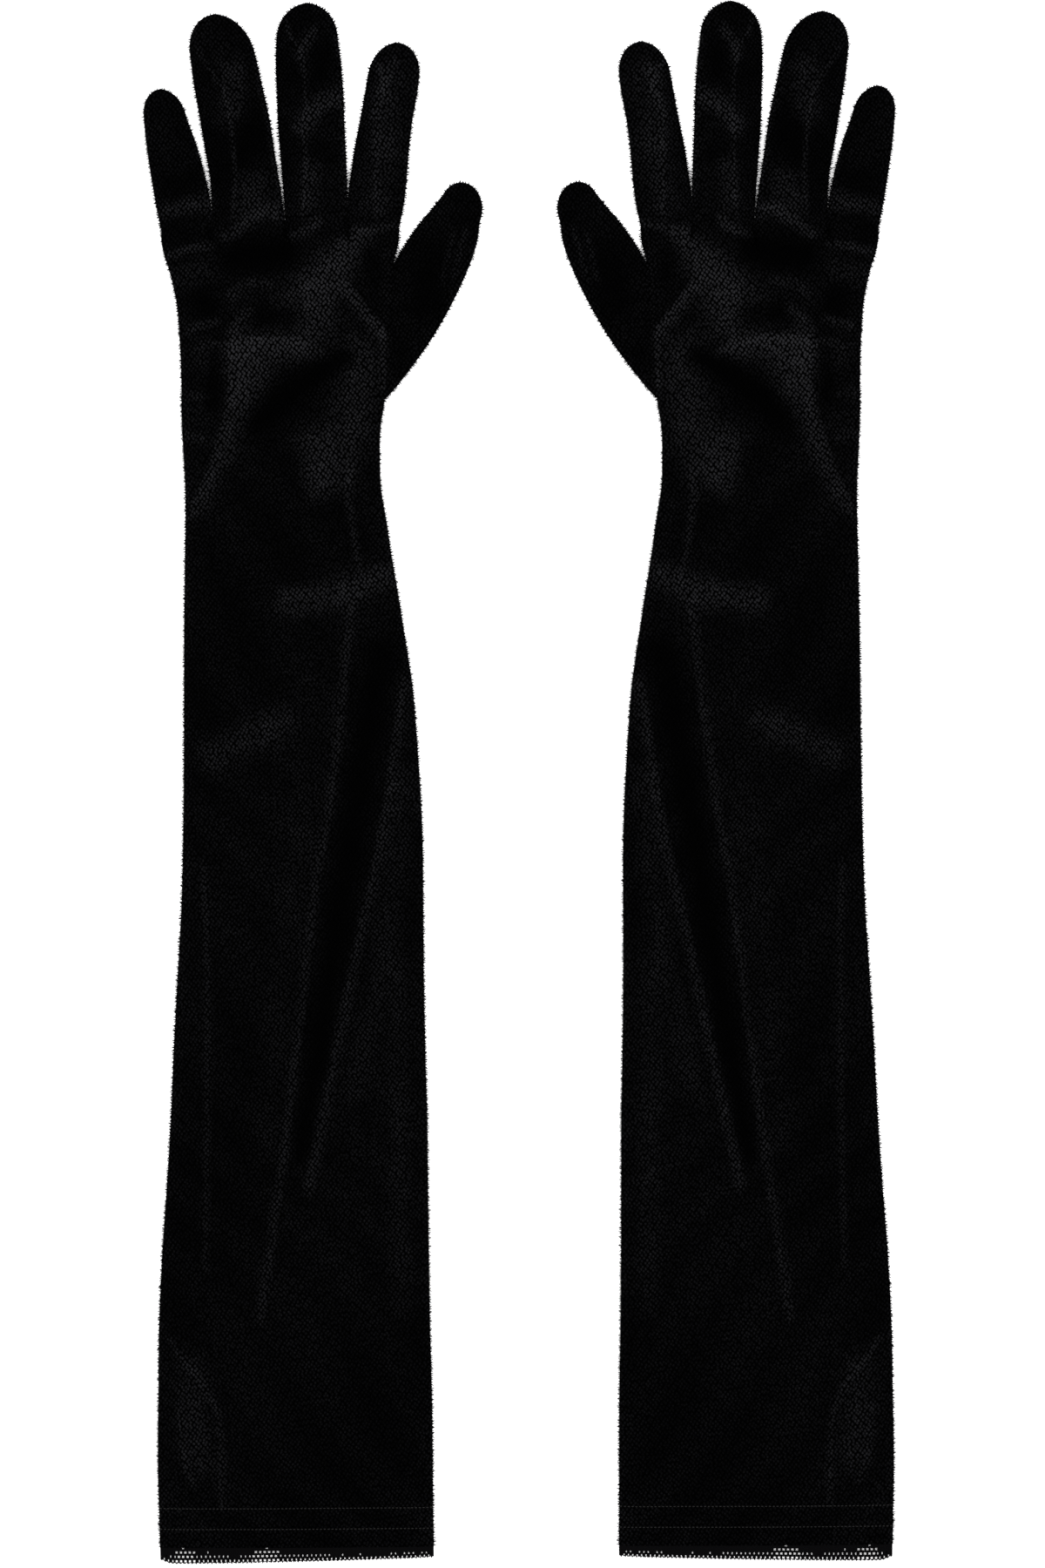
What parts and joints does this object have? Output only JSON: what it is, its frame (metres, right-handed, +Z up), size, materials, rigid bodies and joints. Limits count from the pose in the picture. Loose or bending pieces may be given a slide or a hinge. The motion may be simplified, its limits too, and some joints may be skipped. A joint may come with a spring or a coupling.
{
  "type": "opera gloves",
  "caption": "Long velvet opera gloves lying flat, palm down, open at the upper arm, with stalls, thumbs, wrists and elbows that fold at their creases.",
  "frame": {"origin": "middle of the pair's outline, on the surface that the gloves lie on", "axes": "+Y along the gloves towards the fingertips, +X to the right across the pair, +Z up from the surface through the backs of the hands"},
  "size_m": [0.289, 0.5968, 0.0101],
  "materials": {
    "velvet": "black stretch velvet, short brushed pile on a fine knit",
    "fourchette_velvet": "the same black velvet cut across the nap for the strips between the fingers",
    "knit_net": "bare black knit net at the raw edge",
    "elastic": "matt black woven elastic tape"
  },
  "bodies": {
    "left_upper_arm": {"left_raw_edge": "knit_net", "left_upper_sleeve": "velvet", "left_grip_elastic": "elastic"},
    "left_forearm": {"left_forearm_sleeve": "velvet"},
    "left_hand": {"left_hand_shell": "velvet"},
    "left_thumb": {"left_thumb_stall": "velvet"},
    "left_index": {"left_index_stall": "velvet", "left_index_outward_fourchette": "fourchette_velvet"},
    "left_middle": {"left_middle_stall": "velvet", "left_middle_thumbward_fourchette": "fourchette_velvet", "left_middle_outward_fourchette": "fourchette_velvet"},
    "left_ring": {"left_ring_stall": "velvet", "left_ring_thumbward_fourchette": "fourchette_velvet", "left_ring_outward_fourchette": "fourchette_velvet"},
    "left_little": {"left_little_stall": "velvet", "left_little_thumbward_fourchette": "fourchette_velvet"},
    "right_upper_arm": {"right_raw_edge": "knit_net", "right_upper_sleeve": "velvet", "right_grip_elastic": "elastic"},
    "right_forearm": {"right_forearm_sleeve": "velvet"},
    "right_hand": {"right_hand_shell": "velvet"},
    "right_thumb": {"right_thumb_stall": "velvet"},
    "right_index": {"right_index_stall": "velvet", "right_index_outward_fourchette": "fourchette_velvet"},
    "right_middle": {"right_middle_stall": "velvet", "right_middle_thumbward_fourchette": "fourchette_velvet", "right_middle_outward_fourchette": "fourchette_velvet"},
    "right_ring": {"right_ring_stall": "velvet", "right_ring_thumbward_fourchette": "fourchette_velvet", "right_ring_outward_fourchette": "fourchette_velvet"},
    "right_little": {"right_little_stall": "velvet", "right_little_thumbward_fourchette": "fourchette_velvet"}
  },
  "joints": [
    {"name": "left_elbow_fold", "type": "hinge", "parent": "left_upper_arm", "child": "left_forearm", "pos_m": [-0.0869, -0.14335, 0.01007], "axis": [1, 0, 0], "range_deg": [0, 120]},
    {"name": "left_wrist_fold", "type": "hinge", "parent": "left_forearm", "child": "left_hand", "pos_m": [-0.0908, 0.10665, 0.00931], "axis": [1, 0, 0], "range_deg": [0, 70]},
    {"name": "left_thumb_fold", "type": "hinge", "parent": "left_hand", "child": "left_thumb", "pos_m": [-0.05055, 0.17165, 0.00931], "axis": [-0.0557, -0.9984, 0], "range_deg": [0, 60]},
    {"name": "left_index_fold", "type": "hinge", "parent": "left_hand", "child": "left_index", "pos_m": [-0.0559, 0.21565, 0.00931], "axis": [1, 0, 0], "range_deg": [0, 90]},
    {"name": "left_middle_fold", "type": "hinge", "parent": "left_hand", "child": "left_middle", "pos_m": [-0.07795, 0.21565, 0.00931], "axis": [1, 0, 0], "range_deg": [0, 90]},
    {"name": "left_ring_fold", "type": "hinge", "parent": "left_hand", "child": "left_ring", "pos_m": [-0.10375, 0.21565, 0.00931], "axis": [1, 0, 0], "range_deg": [0, 90]},
    {"name": "left_little_fold", "type": "hinge", "parent": "left_hand", "child": "left_little", "pos_m": [-0.12855, 0.21565, 0.00931], "axis": [1, 0, 0], "range_deg": [0, 90]},
    {"name": "right_elbow_fold", "type": "hinge", "parent": "right_upper_arm", "child": "right_forearm", "pos_m": [0.0869, -0.14335, 0.01007], "axis": [1, 0, 0], "range_deg": [0, 120]},
    {"name": "right_wrist_fold", "type": "hinge", "parent": "right_forearm", "child": "right_hand", "pos_m": [0.0908, 0.10665, 0.00931], "axis": [1, 0, 0], "range_deg": [0, 70]},
    {"name": "right_thumb_fold", "type": "hinge", "parent": "right_hand", "child": "right_thumb", "pos_m": [0.05055, 0.17165, 0.00931], "axis": [-0.0557, 0.9984, 0], "range_deg": [0, 60]},
    {"name": "right_index_fold", "type": "hinge", "parent": "right_hand", "child": "right_index", "pos_m": [0.0559, 0.21565, 0.00931], "axis": [1, 0, 0], "range_deg": [0, 90]},
    {"name": "right_middle_fold", "type": "hinge", "parent": "right_hand", "child": "right_middle", "pos_m": [0.07795, 0.21565, 0.00931], "axis": [1, 0, 0], "range_deg": [0, 90]},
    {"name": "right_ring_fold", "type": "hinge", "parent": "right_hand", "child": "right_ring", "pos_m": [0.10375, 0.21565, 0.00931], "axis": [1, 0, 0], "range_deg": [0, 90]},
    {"name": "right_little_fold", "type": "hinge", "parent": "right_hand", "child": "right_little", "pos_m": [0.12855, 0.21565, 0.00931], "axis": [1, 0, 0], "range_deg": [0, 90]},
    {"name": "pair_spread", "type": "slide", "parent": "left_upper_arm", "child": "right_upper_arm", "axis": [1, 0, 0], "range_m": [0, 0.1]}
  ]
}
